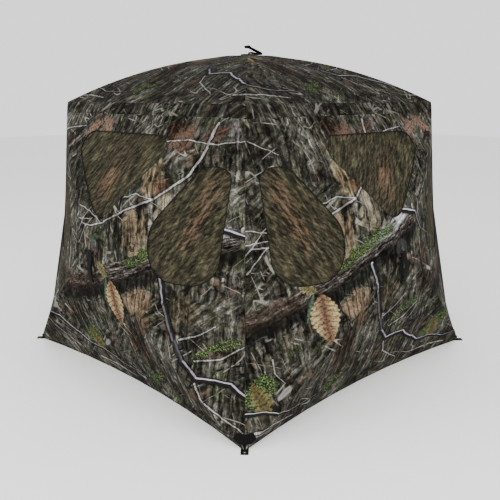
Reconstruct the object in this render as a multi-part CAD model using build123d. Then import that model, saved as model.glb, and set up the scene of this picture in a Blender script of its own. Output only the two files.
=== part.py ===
from build123d import *

import math
import os

# Pop up ground blind: five hub-and-pole faces, camo shell, netted windows and a zipped door.
#
# Millimetres, +Z up, origin on the ground under the roof hub. The walls face -Y (front), +X (right),
# +Y (back) and -X (left). Each face has a flat frame of its own: u along the face, v up it, w outwards.

# ---- driving dimensions -------------------------------------------------------------------------
BASE_HALF = 897.0  # half the side between two base corners
EAVE_HALF = 720.0  # half the side between two eave corners
EAVE_Z = 1412.0
ROOF_RISE = 250.0  # roof fabric at the hub above the eave corners
WALL_RISE = 225.0  # wall fabric at the hub outside the flat through its four corners
WALL_HUB_Z = 720.0
ROOF_BOW = 58.0  # how far a popped-out pole bows off its chord
WALL_BOW = 46.0
SEAM_SAG = 44.0  # corner seams draw in this far along x and along y
SEAM_SKEW = 1.35  # above 1 puts the deepest point of the corner seam below its middle
HEM_SAG = 72.0  # the hem draws in this far at mid side
FABRIC = 2.0
BAND = 60.0  # the strip of each side above the wall seam
HEM_TAPE_H = 24.0
HEM_TAPE_T = 5.0
ROWS = (0.0, 0.2, 0.4, 0.6, 0.8)
COLUMNS = 4
HUB_PATCH = 84.0  # corner radius of the flat square of fabric clamped by the hub

NET_GAP = 3.0
NET = 1.5
NET_LAP = 18.0
DOOR_GAP = 1.2
DOOR_SKIN = 2.0
ZIP_TAPE = 1.6
ZIP_LAP = 22.0

PIN_RADIUS_AT = 30.0  # pole pins sit this far from the hub's axis
PIN_R = 2.5
PIN_CLEAR = 0.06
PIN_DEPTH = 24.0  # pin axis below the outside of the fabric
PIN_LEN = 21.0
TONGUE_HALF = 3.0
TONGUE_R = 6.5
FORK_GAP = 0.6
FORK_WALL = 6.0
BOSS_R = 18.0
BOSS_TOP = 3.0
BOSS_DEEP = 36.0
FORK_R = 37.5
FORK_TOP = 15.0
BOLT_R = 4.0
CAP_R = 44.0
CAP_T = 5.0
CAP_LIFT = 0.6

ROD_R = 4.75
FERRULE_R = 6.3
FERRULE_LEN = 60.0
TIP_R = 6.0
TIP_LEN = 26.0
TIP_BACK = 76.0  # pole tip to the corner of the shell
TIP_INSET = 21.0  # pole axis under the fabric at the corner
MID_INSET = 19.0  # and at the middle of the pole

SLEEVE_IN = 6.8
SLEEVE_OUT = 8.4
SLEEVE_LEN = 42.0
FIN_T = 2.0
FIN_TOP = 12.0  # from the pole's axis out towards the fabric
SLEEVE_FROM = 12.0  # sleeve starts this far from the tip

STRAP_W = 25.0
STRAP_T = 2.6
STRAP_LEN = 155.0
STRAP_BAR_R = 2.4
STRAP_BAR_UP = 9.0  # bar axis above the cap
STRAP_CLEAR = 0.3
ROOF_BAR_AT = 16.0  # bar to the hub's axis, towards the back so that the strap lies between two poles
WALL_BAR_AT = 20.0  # bar below the hub's axis

TAB_LEN = 32.0
TAB_TUCK = 26.0  # runs this far in under the hem
TAB_W = 34.0
TAB_T = 3.0
EYELET_IN = 5.0
EYELET_OUT = 9.0
PATCH = ((940, -60), (820, -60), (852, 66), (940, 66))
PATCH_GAP = 0.8
PATCH_T = 1.6

TOP_WINDOW = ((-440, 1272), (440, 1272), (0, 835))
TOP_WINDOW_R = (60, 60, 78)
SIDE_WINDOW = ((690, 1178), (573, 1178), (312, 838), (372, 636), (680, 636))
SIDE_WINDOW_R = (38, 42, 80, 105, 95)
DOORWAY = ((668, 1262), (812, 150), (215, 716))
DOORWAY_R = (60, 60, 80)
HINGE_TOP = (690.0, 1262.0, -6.0)
HINGE_LOW = (838.0, 150.0, -6.0)
ROLL_R = 16.0
ROLL_GAP = 7.0
ROLLS = (
    ((-380, 1306), (380, 1306)),
    ((392, 596), (640, 596)),
    ((-392, 596), (-640, 596)),
)

WALLS = ("front", "right", "back", "left")
NETTED = ("front", "right", "left")
TURN = {"front": 0.0, "right": 90.0, "back": 180.0, "left": 270.0}

TILT = math.atan2(BASE_HALF - EAVE_HALF, EAVE_Z)
EAVE_V = EAVE_Z / math.cos(TILT)
HUB_V = WALL_HUB_Z / math.cos(TILT)


# ---- frames -------------------------------------------------------------------------------------
def turned(point, degrees):
    a = math.radians(degrees)
    x, y, z = point
    return (x * math.cos(a) - y * math.sin(a), x * math.sin(a) + y * math.cos(a), z)


def wall_point(side, u, v, w):
    """A point of a wall's own frame, in the frame of the whole blind."""
    out = BASE_HALF - v * math.sin(TILT) + w * math.cos(TILT)
    up = v * math.cos(TILT) + w * math.sin(TILT)
    return Vector(*turned((u, -out, up), TURN[side]))


def roof_point(u, v, w):
    return Vector(u, v, EAVE_Z + w)


class FaceFrame:
    """One of the five faces: where its corners and hub are and which way is out."""

    def __init__(self, name):
        self.name = name
        self.is_roof = name == "roof"
        if self.is_roof:
            e = EAVE_HALF
            self.corners = [(-e, -e), (e, -e), (e, e), (-e, e)]
            self.hub = (0.0, 0.0)
            self.rise, self.bow = ROOF_RISE, ROOF_BOW
        else:
            b, e = BASE_HALF, EAVE_HALF
            self.corners = [(-b, 0.0), (b, 0.0), (e, EAVE_V), (-e, EAVE_V)]
            self.hub = (0.0, HUB_V)
            self.rise, self.bow = WALL_RISE, WALL_BOW
        self.across = (self.at(1, 0, 0) - self.at(0, 0, 0)).normalized()
        self.up = (self.at(0, 1, 0) - self.at(0, 0, 0)).normalized()
        self.out = (self.at(0, 0, 1) - self.at(0, 0, 0)).normalized()

    def at(self, u, v, w):
        if self.is_roof:
            return roof_point(u, v, w)
        return wall_point(self.name, u, v, w)

    def height(self, t):
        """The pole line's height off the corners' flat, t from a corner to the hub."""
        return self.rise * t + 4 * self.bow * t * (1 - t)

    def pole_line(self, corner, t):
        cu, cv = self.corners[corner]
        hu, hv = self.hub
        return (cu + (hu - cu) * t, cv + (hv - cv) * t)

    def reach(self, corner):
        cu, cv = self.corners[corner]
        return math.hypot(cu - self.hub[0], cv - self.hub[1])

    def plane(self, u, v, w):
        """A plane whose X is across, Y is up the face and Z is outwards."""
        return Plane(origin=self.at(u, v, w), x_dir=self.across, z_dir=self.out)


FRAMES = {name: FaceFrame(name) for name in WALLS + ("roof",)}


# ---- fabric -------------------------------------------------------------------------------------
def seam_draw(down):
    q = down**SEAM_SKEW
    return 4 * q * (1 - q) * SEAM_SAG


def edge_sag(frame, a, s):
    """How far the outer edge between corners a and a+1 leaves its chord, in the blind's frame."""
    if frame.is_roof or a == 2:
        return Vector(0, 0, 0)
    turn = TURN[frame.name]
    if a == 0:
        return Vector(*turned((0, 4 * s * (1 - s) * HEM_SAG, 0), turn))
    down = 1 - s if a == 1 else s
    draw = seam_draw(down)
    return Vector(*turned((-draw if a == 1 else draw, draw, 0), turn))


def surface(frame, a, s, t):
    """A point of quadrant a: s along its outer edge, t from that edge to the hub."""
    b = (a + 1) % 4
    ua, va = frame.pole_line(a, t)
    ub, vb = frame.pole_line(b, t)
    w = frame.height(t)
    flat = frame.at(ua + (ub - ua) * s, va + (vb - va) * s, w)
    return flat + edge_sag(frame, a, s) * (1 - t) ** 2


def inward(frame, a, s, t):
    """Which way the fabric's inner face lies from its outer face; neighbours share it at a seam."""
    if t > 0:
        return frame.out * -1
    if frame.is_roof or a == 2:
        mid = surface(frame, a, s, 0)
        near = EAVE_HALF - 1e-3
        dx = -math.copysign(1, mid.X) if abs(mid.X) > near else 0
        dy = -math.copysign(1, mid.Y) if abs(mid.Y) > near else 0
        return Vector(dx, dy, -1)
    turn = TURN[frame.name]
    if a == 0:
        side = 1 if s == 0 else -1 if s == 1 else 0
        return Vector(*turned((side, 1, 0), turn))
    drop = -1 if (s == 1 and a == 1) or (s == 0 and a == 3) else 0
    return Vector(*turned((-1 if a == 1 else 1, 1, drop), turn))


def triangle(p, q, r):
    return Face(Wire.make_polygon([p, q, r], close=True))


def quad_faces(p, q, r, s):
    """Two triangles, or one where two corners are the same point."""
    faces = []
    for tri in ((p, q, r), (p, r, s)):
        a, b, c = tri
        if (b - a).cross(c - a).length > 1e-6:
            faces.append(triangle(a, b, c))
    return faces


def closed(faces):
    return Solid(Shell(faces))


def fabric_shell(frame, outer, inner):
    """The whole face as a thin closed shell between two depths under the fabric's outside."""
    grid = {}
    for a in range(4):
        last = 1 - HUB_PATCH / max(frame.reach(a), frame.reach((a + 1) % 4))
        rows = [t for t in ROWS if t < last - 0.02] + [None]
        for i, t in enumerate(rows):
            for j in range(COLUMNS + 1):
                s = j / COLUMNS
                if t is None:
                    p = hub_patch_point(frame, a, s)
                    way = frame.out * -1
                else:
                    p = surface(frame, a, s, t)
                    way = inward(frame, a, s, t)
                grid[a, i, j] = (p + way * outer, p + way * inner)
    faces = []
    count = len(rows)
    for k in (0, 1):
        for a in range(4):
            for i in range(count - 1):
                for j in range(COLUMNS):
                    p, q = grid[a, i, j][k], grid[a, i, j + 1][k]
                    r, s = grid[a, i + 1, j + 1][k], grid[a, i + 1, j][k]
                    faces += quad_faces(p, q, r, s)
        square = [grid[a, count - 1, 0][k] for a in range(4)]
        faces.append(Face(Wire.make_polygon(square, close=True)))
    for a in range(4):
        for j in range(COLUMNS):
            p, q = grid[a, 0, j], grid[a, 0, j + 1]
            faces += quad_faces(p[0], q[0], q[1], p[1])
    return closed(faces)


def hub_patch_point(frame, a, s):
    """The flat square that the hub clamps, its corners on the pole lines."""
    ends = []
    for c in (a, (a + 1) % 4):
        cu, cv = frame.corners[c]
        hu, hv = frame.hub
        k = HUB_PATCH / frame.reach(c)
        ends.append((hu + (cu - hu) * k, hv + (cv - hv) * k))
    (ua, va), (ub, vb) = ends
    return frame.at(ua + (ub - ua) * s, va + (vb - va) * s, frame.rise)


def outline_prism(frame, outline, radii, grow=0.0, low=-140.0, high=260.0):
    """A prism through the face over a rounded outline, for cutting windows and their nets."""
    points = [Vector(u, v, 0) for u, v in outline]
    sketch = make_face(Polyline(*points, close=True))
    for point, radius in zip(points, radii):
        near = min(sketch.vertices(), key=lambda v: (Vector(*tuple(v)) - point).length)
        sketch = fillet(near, radius)
    if grow:
        from_wire = sketch.faces()[0].outer_wire()
        sketch = Face(from_wire.offset_2d(grow))
    base = frame.plane(0, 0, low)
    face = base.location * sketch.faces()[0]
    return extrude(face, amount=high - low, dir=frame.out)


def mirrored(outline):
    return tuple((-u, v) for u, v in outline)


def window_outlines(side):
    if side not in NETTED:
        return []
    return [
        (TOP_WINDOW, TOP_WINDOW_R),
        (SIDE_WINDOW, SIDE_WINDOW_R),
        (mirrored(SIDE_WINDOW), SIDE_WINDOW_R),
    ]


def half_space(z_low, z_high, reach=1400.0):
    """A slab between two heights, wide enough for the whole blind."""
    base = Face.make_rect(2 * reach, 2 * reach, Plane.XY.offset(z_low))
    return extrude(base, amount=z_high - z_low, dir=Vector(0, 0, 1))


def band_cutter(frame, low, high):
    """A slab of one wall between two distances up it."""
    plane = Plane(origin=frame.at(0, low, 0), x_dir=frame.across, z_dir=frame.up)
    base = Face.make_rect(2400, 900, plane)
    return extrude(base, amount=high - low, dir=frame.up)


def hub_hole(frame):
    plane = frame.plane(*frame.hub, frame.rise - 20)
    disc = plane.location * Circle(BOLT_R + 0.6).faces()[0]
    return extrude(disc, amount=40, dir=frame.out)


def solids_of(shape):
    return [s for s in shape.solids()]


def wall_nodes(side):
    """The wall's fabric, its strip over the seam, and its nets or nothing."""
    frame = FRAMES[side]
    shell = fabric_shell(frame, 0.0, FABRIC)
    band = shell.intersect(band_cutter(frame, EAVE_V - BAND, EAVE_V + 40))
    wall = shell - band_cutter(frame, EAVE_V - BAND, EAVE_V + 40)
    wall = wall - half_space(-5, HEM_TAPE_H)
    wall = wall - hub_hole(frame)
    nets = []
    for outline, radii in window_outlines(side):
        wall = wall - outline_prism(frame, outline, radii)
    if side in NETTED:
        inner = fabric_shell(frame, FABRIC + NET_GAP, FABRIC + NET_GAP + NET)
        for outline, radii in window_outlines(side):
            cutter = outline_prism(frame, outline, radii, grow=NET_LAP)
            nets += solids_of(inner.intersect(cutter))
    else:
        wall = wall - outline_prism(frame, DOORWAY, DOORWAY_R)
    return solids_of(wall), solids_of(band), nets


def door_nodes():
    """The door panel and the zip tape round the doorway, both outside the back wall."""
    frame = FRAMES["back"]
    tape_shell = fabric_shell(frame, -DOOR_GAP - ZIP_TAPE, -DOOR_GAP)
    ring = tape_shell.intersect(outline_prism(frame, DOORWAY, DOORWAY_R, grow=ZIP_LAP))
    ring = ring - outline_prism(frame, DOORWAY, DOORWAY_R, grow=-4.0)
    low = DOOR_GAP + ZIP_TAPE + 0.8
    skin = fabric_shell(frame, -low - DOOR_SKIN, -low)
    panel = skin.intersect(outline_prism(frame, DOORWAY, DOORWAY_R, grow=8.0))
    return solids_of(ring), solids_of(panel)


def cover_rolls(side):
    """Window covers rolled up and tied beside their windows, inside."""
    frame = FRAMES[side]
    rolls = []
    for ends in ROLLS:
        points = []
        for u, v in ends:
            depth = fabric_height(frame, u, v)
            points.append(frame.at(u, v, depth - FABRIC - ROLL_GAP - ROLL_R))
        a, b = points
        plane = Plane(origin=a, z_dir=(b - a).normalized())
        rolls.append(extrude(plane.location * Circle(ROLL_R).faces()[0], amount=(b - a).length, dir=b - a))
    return rolls


def fabric_height(frame, u, v):
    """Height of the fabric off the corners' flat near (u, v), by search over its own surface."""
    best, where = 1e9, 0.0
    for a in range(4):
        for i in range(61):
            for j in range(61):
                p = surface(frame, a, j / 60, i / 60)
                d = p - frame.at(0, 0, 0)
                du, dv = d.dot(frame.across) - u, d.dot(frame.up) - v
                if du * du + dv * dv < best:
                    best, where = du * du + dv * dv, d.dot(frame.out)
    return where


# ---- hem, corners -------------------------------------------------------------------------------
def hem_outline(offset):
    """The hem's plan all the way round, moved inwards by offset."""
    points = []
    steps = 8
    for side in WALLS:
        for j in range(steps):
            s = j / steps
            x = -BASE_HALF + 2 * BASE_HALF * s
            y = -BASE_HALF + 4 * s * (1 - s) * HEM_SAG
            if j == 0:
                p = (x + offset, y + offset, 0)
            else:
                p = (x, y + offset, 0)
            points.append(Vector(*turned(p, TURN[side])))
    return points


def hem_tape():
    outer = Face(Wire.make_polygon(hem_outline(-1.5), close=True))
    inner = Face(Wire.make_polygon(hem_outline(HEM_TAPE_T - 1.5), close=True))
    up = Vector(0, 0, 1)
    tape = extrude(outer, amount=HEM_TAPE_H, dir=up) - extrude(inner, amount=HEM_TAPE_H, dir=up)
    for k in range(4):
        sx, sy = corner_sign(k)
        way = Vector(sx, sy, 0).normalized()
        start = Vector(sx * BASE_HALF, sy * BASE_HALF, 0) - way * (TAB_TUCK + 4)
        tape = tape - slab(start, way, up, TAB_TUCK + TAB_LEN, TAB_W + 1, TAB_T)
    return tape


def corner_sign(k):
    return ((1, -1), (1, 1), (-1, 1), (-1, -1))[k]


def stake_tabs():
    """A webbing tab flat on the ground outside each base corner, with a hole for its eyelet."""
    tabs, eyelets = [], []
    for k in range(4):
        sx, sy = corner_sign(k)
        way = Vector(sx, sy, 0).normalized()
        start = Vector(sx * BASE_HALF, sy * BASE_HALF, 0) - way * TAB_TUCK
        tab = slab(start, way, Vector(0, 0, 1), TAB_TUCK + TAB_LEN, TAB_W, TAB_T)
        eye = start + way * (TAB_TUCK + TAB_LEN - 15)
        hole = Cylinder(EYELET_IN + 1.5, 4 * TAB_T).located(Location(eye))
        tabs += solids_of(tab - hole)
        ring = Cylinder(EYELET_OUT, 1.0).located(Location(eye + Vector(0, 0, TAB_T + 0.5)))
        neck = Cylinder(EYELET_IN + 1.5, TAB_T).located(Location(eye + Vector(0, 0, TAB_T / 2)))
        bore = Cylinder(EYELET_IN, 6 * TAB_T).located(Location(eye))
        eyelets += solids_of((ring + neck) - bore)
    return tabs, eyelets


def corner_patches():
    """Reinforcing patches outside the two walls that meet at each base corner."""
    patches = []
    low = HEM_TAPE_H + 0.6
    for side in WALLS:
        frame = FRAMES[side]
        skin = fabric_shell(frame, -PATCH_GAP - PATCH_T, -PATCH_GAP)
        for sign in (-1, 1):
            outline = tuple((sign * u, v) for u, v in PATCH)
            corner = solids_of(skin.intersect(outline_prism(frame, outline, (1, 1, 1, 1))))[0]
            patches += solids_of(corner - half_space(-50, low))
    return patches


# ---- hubs and poles -----------------------------------------------------------------------------
def radial(frame, corner):
    """Unit vector in the face's flat from the hub towards a corner."""
    cu, cv = frame.corners[corner]
    hu, hv = frame.hub
    return (frame.across * (cu - hu) + frame.up * (cv - hv)).normalized()


def hub_origin(frame, w):
    return frame.at(frame.hub[0], frame.hub[1], w)


def disc(origin, way, radius, length):
    plane = Plane(origin=origin, z_dir=way)
    return extrude(plane.location * Circle(radius).faces()[0], amount=length, dir=way)


def slab(origin, along, normal, length, width, height):
    """A box from origin: length along, width centred, height along normal."""
    plane = Plane(origin=origin + along * length / 2, x_dir=along, z_dir=normal)
    return extrude(Face.make_rect(length, width, plane), amount=height, dir=normal)


def hub_housing(frame):
    """Boss with four forks, one for each pole's tongue."""
    base = hub_origin(frame, frame.rise - BOSS_DEEP)
    body = disc(base, frame.out, BOSS_R, BOSS_DEEP - BOSS_TOP)
    fork_h = BOSS_DEEP - FORK_TOP
    for corner in range(4):
        way = radial(frame, corner)
        width = 2 * (TONGUE_HALF + FORK_GAP + FORK_WALL)
        body = body + slab(base, way, frame.out, FORK_R, width, fork_h)
    for corner in range(4):
        way = radial(frame, corner)
        gap = slab(
            base + way * (PIN_RADIUS_AT - TONGUE_R - 1.5) - frame.out * 5,
            way,
            frame.out,
            FORK_R,
            2 * (TONGUE_HALF + FORK_GAP),
            BOSS_DEEP + 10,
        )
        body = body - gap
        body = body - pin_solid(frame, corner, PIN_R)
    return body - disc(base - frame.out * 5, frame.out, BOLT_R, BOSS_DEEP + 10)


def pin_centre(frame, corner):
    return hub_origin(frame, frame.rise - PIN_DEPTH) + radial(frame, corner) * PIN_RADIUS_AT


def pin_axis(frame, corner):
    return frame.out.cross(radial(frame, corner)).normalized()


def pin_solid(frame, corner, radius):
    axis = pin_axis(frame, corner)
    return disc(pin_centre(frame, corner) - axis * PIN_LEN / 2, axis, radius, PIN_LEN)


def hub_fasteners(frame):
    """Four pole pins, and the bolt that clamps cap, fabric and housing."""
    pieces = [pin_solid(frame, corner, PIN_R) for corner in range(4)]
    low = hub_origin(frame, frame.rise - BOSS_DEEP - 4)
    shank = disc(low, frame.out, BOLT_R, BOSS_DEEP + 4 + CAP_LIFT + CAP_T)
    nut = disc(low - frame.out * 3, frame.out, 9.0, 7.0)
    head = disc(hub_origin(frame, frame.rise + CAP_LIFT + CAP_T), frame.out, 8.0, 2.6)
    return pieces + [shank + nut + head]


def strap_way(frame):
    """Across the cap: the direction of the strap's bar."""
    if frame.is_roof:
        return Vector(-1, 0, 0)
    return frame.across


def bar_centre(frame):
    up = frame.rise + CAP_LIFT + CAP_T + STRAP_BAR_UP
    centre = hub_origin(frame, up)
    if frame.is_roof:
        return centre + Vector(0, ROOF_BAR_AT, 0)
    return centre - frame.up * WALL_BAR_AT


def hub_cap(frame):
    """Outer plate with a bar for the pull strap."""
    base = hub_origin(frame, frame.rise + CAP_LIFT)
    cap = disc(base, frame.out, CAP_R, CAP_T)
    bar = strap_way(frame)
    span = STRAP_W + 3.0
    centre = bar_centre(frame)
    post = 5.0
    foot = centre - frame.out * (STRAP_BAR_UP + 0.5)
    for sign in (-1, 1):
        start = foot + bar * sign * (span / 2 + post / 2) - bar * post / 2
        cap = cap + slab(start, bar, frame.out, post, 6.0, STRAP_BAR_UP + 0.5 + STRAP_BAR_R)
    cap = cap + disc(centre - bar * (span / 2 + post / 2), bar, STRAP_BAR_R, span + post)
    return cap - disc(base - frame.out * 5, frame.out, BOLT_R, CAP_T + 10 - 5 + 0.0)


def pull_strap(frame):
    """Webbing tab on the cap's bar: hanging on a wall, lying on the roof."""
    bar = strap_way(frame)
    centre = bar_centre(frame)
    inner = STRAP_BAR_R + STRAP_CLEAR
    outer = inner + STRAP_T
    start = centre - bar * STRAP_W / 2
    eye = disc(start, bar, outer, STRAP_W)
    if frame.is_roof:
        slope = math.radians(-2.0)
        flat = Vector(0, 1, 0)
        way = (flat * math.cos(slope) + Vector(0, 0, 1) * math.sin(slope)).normalized()
    else:
        way = Vector(0, 0, -1)
    normal = bar.cross(way).normalized()
    tail = slab(
        centre + way * inner * 0.5 - normal * STRAP_T / 2,
        way,
        normal,
        STRAP_LEN,
        STRAP_W,
        STRAP_T,
    )
    hole = disc(start - bar, bar, inner, STRAP_W + 2)
    return (eye + tail) - hole


def pole_tip(frame, corner):
    """Outer end of the pole's axis."""
    reach = frame.reach(corner)
    t = TIP_BACK / reach
    u, v = frame.pole_line(corner, t)
    return frame.at(u, v, frame.height(t) - TIP_INSET)


def pole_arc(frame, corner):
    """The bowed axis from the pin to the tip."""
    start = pin_centre(frame, corner)
    end = pole_tip(frame, corner)
    u, v = frame.pole_line(corner, 0.5)
    middle = frame.at(u, v, frame.height(0.5) - MID_INSET)
    return Edge.make_three_point_arc(start, middle, end)


def along_arc(arc, first, last, radius):
    """A round bar over part of the arc, between two distances along it."""
    cut = arc.trim(first / arc.length, last / arc.length)
    plane = Plane(origin=cut @ 0, z_dir=cut % 0)
    return sweep(plane.location * Circle(radius).faces()[0], path=cut)


def pole(frame, corner):
    """Tongue, ferrule, fibreglass rod and tip cap of one pole."""
    arc = pole_arc(frame, corner)
    length = arc.length
    axis = pin_axis(frame, corner)
    centre = pin_centre(frame, corner)
    way = arc % 0
    eye = disc(centre - axis * TONGUE_HALF, axis, TONGUE_R, 2 * TONGUE_HALF)
    normal = axis.cross(way).normalized()
    neck = slab(centre - normal * TONGUE_R * 0.75, way, normal, 20.0, 2 * TONGUE_HALF, TONGUE_R * 1.5)
    ferrule = along_arc(arc, 14.0, 14.0 + FERRULE_LEN, FERRULE_R)
    rod = along_arc(arc, 14.0 + FERRULE_LEN, length - TIP_LEN, ROD_R)
    tip = along_arc(arc, length - TIP_LEN, length, TIP_R)
    hole = disc(centre - axis * 10, axis, PIN_R + PIN_CLEAR, 20)
    tongue = (eye + neck + ferrule) - hole
    return [tongue, rod, tip]


def corner_sleeve(frame, corner):
    """Sewn sleeve round a pole's outer end, open at both ends."""
    arc = pole_arc(frame, corner)
    last = arc.length - SLEEVE_FROM
    outer = along_arc(arc, last - SLEEVE_LEN, last, SLEEVE_OUT)
    inner = along_arc(arc, last - SLEEVE_LEN - 5, last + 5, SLEEVE_IN)
    way = (arc.position_at((last - SLEEVE_LEN) / arc.length) - arc.position_at(last / arc.length)).normalized()
    side = way.cross(frame.out).normalized()
    normal = side.cross(way).normalized()
    start = arc.position_at(last / arc.length) + normal * (SLEEVE_OUT - 1)
    fin = slab(start, way, normal, SLEEVE_LEN, FIN_T, FIN_TOP - SLEEVE_OUT + 1)
    return (outer + fin) - inner


# ---- output -------------------------------------------------------------------------------------
def save(name, shapes):
    shapes = list(shapes) if isinstance(shapes, (list, tuple)) else [shapes]
    solids = [s for shape in shapes for s in shape.solids()]
    part = solids[0] if len(solids) == 1 else Compound(children=solids)
    part.label = name
    export_step(part, f"parts/{name}.step")
    print(name, len(solids), round(sum(s.volume for s in solids)))


def main():
    os.makedirs("parts", exist_ok=True)
    bands = []
    for side in WALLS:
        wall, band, nets = wall_nodes(side)
        save(f"wall_{side}", wall)
        bands += band
        if nets:
            save(f"window_nets_{side}", nets)
            save(f"cover_rolls_{side}", cover_rolls(side))
    save("eave_bands", bands)
    roof = fabric_shell(FRAMES["roof"], 0.0, FABRIC) - hub_hole(FRAMES["roof"])
    save("roof", roof)
    ring, panel = door_nodes()
    save("door_zip", ring)
    save("door_panel", panel)
    save("hem_tape", hem_tape())
    tabs, eyelets = stake_tabs()
    save("stake_tabs", tabs)
    save("stake_eyelets", eyelets)
    save("corner_patches", corner_patches())
    sleeves = []
    for name, frame in FRAMES.items():
        save(f"hub_{name}", hub_housing(frame))
        save(f"hub_cap_{name}", hub_cap(frame))
        save(f"hub_fasteners_{name}", hub_fasteners(frame))
        save(f"pull_strap_{name}", pull_strap(frame))
        for corner in range(4):
            save(f"pole_{name}_{corner + 1}", pole(frame, corner))
            sleeves.append(corner_sleeve(frame, corner))
    save("corner_sleeves", sleeves)


main()
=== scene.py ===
"""Looks of a pop up ground blind: camouflage cloth on bowed poles, netted windows, zipped door.

Metres, +Z up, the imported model's own frame. The walls face -Y (front), +X, +Y (back) and -X.
"""

import math

import bpy
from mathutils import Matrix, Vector
from mathutils.geometry import delaunay_2d_cdt


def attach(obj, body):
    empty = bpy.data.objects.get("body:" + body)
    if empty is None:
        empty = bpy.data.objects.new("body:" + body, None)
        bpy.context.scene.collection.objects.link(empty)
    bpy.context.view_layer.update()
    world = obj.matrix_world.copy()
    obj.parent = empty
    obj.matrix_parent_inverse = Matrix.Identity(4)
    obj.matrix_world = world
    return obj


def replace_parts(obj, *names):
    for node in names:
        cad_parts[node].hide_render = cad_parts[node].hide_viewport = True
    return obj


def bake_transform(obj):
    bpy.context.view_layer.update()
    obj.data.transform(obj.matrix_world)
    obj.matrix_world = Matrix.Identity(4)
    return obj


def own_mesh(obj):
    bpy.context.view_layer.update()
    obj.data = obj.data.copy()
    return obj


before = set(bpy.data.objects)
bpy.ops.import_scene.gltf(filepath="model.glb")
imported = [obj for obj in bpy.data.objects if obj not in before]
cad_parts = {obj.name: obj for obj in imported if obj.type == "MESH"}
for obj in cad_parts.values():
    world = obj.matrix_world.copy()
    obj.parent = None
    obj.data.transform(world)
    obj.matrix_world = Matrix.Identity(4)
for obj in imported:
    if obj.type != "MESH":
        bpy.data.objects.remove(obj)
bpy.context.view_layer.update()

# ---- the blind's own sizes ----
BASE_HALF = 0.897
EAVE_HALF = 0.720
EAVE_Z = 1.412
WALL_HUB_Z = 0.720
RISE = {"wall": 0.225, "roof": 0.250}
BOW = {"wall": 0.046, "roof": 0.058}
SEAM_SAG = 0.044
SEAM_SKEW = 1.35
HEM_SAG = 0.072
PANEL_SLACK = 0.006
BAND = 0.060
FLAT_FROM = 0.80
FLAT_TO = 0.93
CLOTH = 0.0012
SHARP_ABOVE = math.radians(50)
TILT = math.atan2(BASE_HALF - EAVE_HALF, EAVE_Z)
EAVE_V = EAVE_Z / math.cos(TILT)
HUB_V = WALL_HUB_Z / math.cos(TILT)
TURN = {"front": 0.0, "right": 90.0, "back": 180.0, "left": 270.0}
WALLS = ("front", "right", "back", "left")
NETTED = ("front", "right", "left")

TOP_WINDOW = ((-0.440, 1.272), (0.440, 1.272), (0.0, 0.835))
TOP_WINDOW_R = (0.066, 0.066, 0.095)
SIDE_WINDOW = ((0.690, 1.158), (0.580, 1.158), (0.320, 0.842), (0.376, 0.640), (0.655, 0.640))
SIDE_WINDOW_R = (0.048, 0.090, 0.190, 0.125, 0.125)
DOORWAY = ((0.668, 1.262), (0.812, 0.150), (0.215, 0.716))
DOORWAY_R = (0.060, 0.060, 0.080)
NET_LAP = 0.014
NET_IN = 0.004
NET_THICK = 0.0008
BINDING = 0.0035
BINDING_RAISED = 0.0012
BAND_RAISED = 0.0015
NEARLY = 1e-4
ZIP_LAP = 0.022
ROLLS = (
    ((-0.380, 1.306), (0.380, 1.306)),
    ((0.392, 0.596), (0.640, 0.596)),
    ((-0.392, 0.596), (-0.640, 0.596)),
)
EDGE_CLEAR = 0.012  # free points of a sheet keep this far in from its edge

# Ends of a panel's blend towards its hub: from near its outer edge to just past the hub, as shares of
# the way in.
BLEND_FROM = 0.07
BLEND_TO = 1.08

SPACING = 0.030


# ---- shape of the cloth ----
def spun(p, angle):
    """A flat point turned about the origin, by an angle in radians."""
    c, s = math.cos(angle), math.sin(angle)
    return Vector((p[0] * c - p[1] * s, p[0] * s + p[1] * c))


def turned(point, degrees):
    """A point turned about the upright axis."""
    return Vector((*spun(point, math.radians(degrees)), point[2]))


def wall_point(side, u, v, w):
    """u along the wall, v up it, w out of it."""
    out = BASE_HALF - v * math.sin(TILT) + w * math.cos(TILT)
    return turned((u, -out, v * math.cos(TILT) + w * math.sin(TILT)), TURN[side])


def eased(x):
    x = min(1.0, max(0.0, x))
    return x * x * (3 - 2 * x)


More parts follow.
